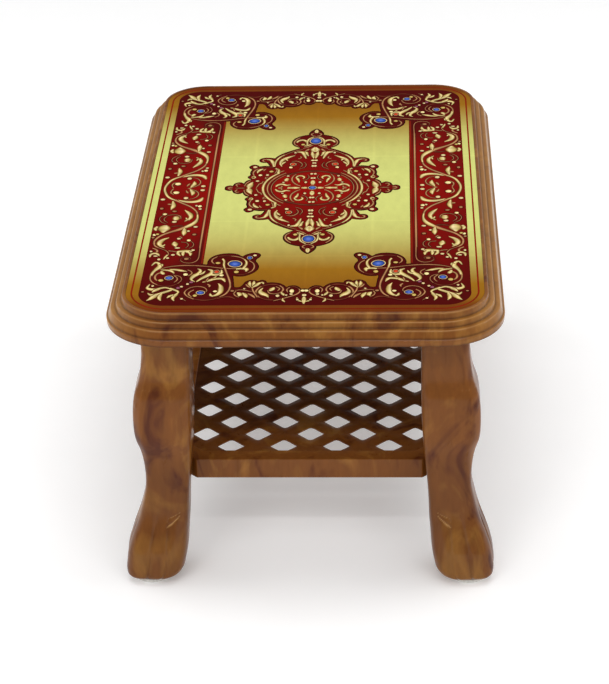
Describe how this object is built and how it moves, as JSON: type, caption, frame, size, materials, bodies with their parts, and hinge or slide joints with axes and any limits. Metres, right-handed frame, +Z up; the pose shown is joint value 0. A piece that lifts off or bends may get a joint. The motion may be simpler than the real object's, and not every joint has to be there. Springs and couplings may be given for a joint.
{
  "type": "quran stand",
  "caption": "Low rectangular reading table: moulded wood-look top with stepped rim and inlaid ornamental panel, carved legs on glide pads, lattice shelf below.",
  "frame": {"origin": "on the floor, under the middle of the table, at the bottom centre of the bounding box", "axes": "+X across the width, +Y along the length, +Z up; the short end seen from the front faces -Y"},
  "size_m": [0.4094, 0.6314, 0.326],
  "materials": {
    "wood_look_moulding": "glossy brown moulding with darker red-brown marbling",
    "printed_panel": "glossy printed film, gold field with a deep red border",
    "white_glide": "satin white polyethylene",
    "screw_steel": "zinc plated"
  },
  "bodies": {
    "root": {"table_top": "wood_look_moulding", "printed_panel": "printed_panel", "lattice_shelf": "wood_look_moulding", "leg_front_left": "wood_look_moulding", "leg_front_right": "wood_look_moulding", "leg_rear_left": "wood_look_moulding", "leg_rear_right": "wood_look_moulding", "glide_front_left": "white_glide", "glide_front_right": "white_glide", "glide_rear_left": "white_glide", "glide_rear_right": "white_glide", "leg_screw_front_left_a": "screw_steel", "leg_screw_front_left_b": "screw_steel", "leg_screw_front_right_a": "screw_steel", "leg_screw_front_right_b": "screw_steel", "leg_screw_rear_left_a": "screw_steel", "leg_screw_rear_left_b": "screw_steel", "leg_screw_rear_right_a": "screw_steel", "leg_screw_rear_right_b": "screw_steel", "shelf_screw_front_left": "screw_steel", "shelf_screw_front_right": "screw_steel", "shelf_screw_rear_left": "screw_steel", "shelf_screw_rear_right": "screw_steel"}
  },
  "joints": []
}
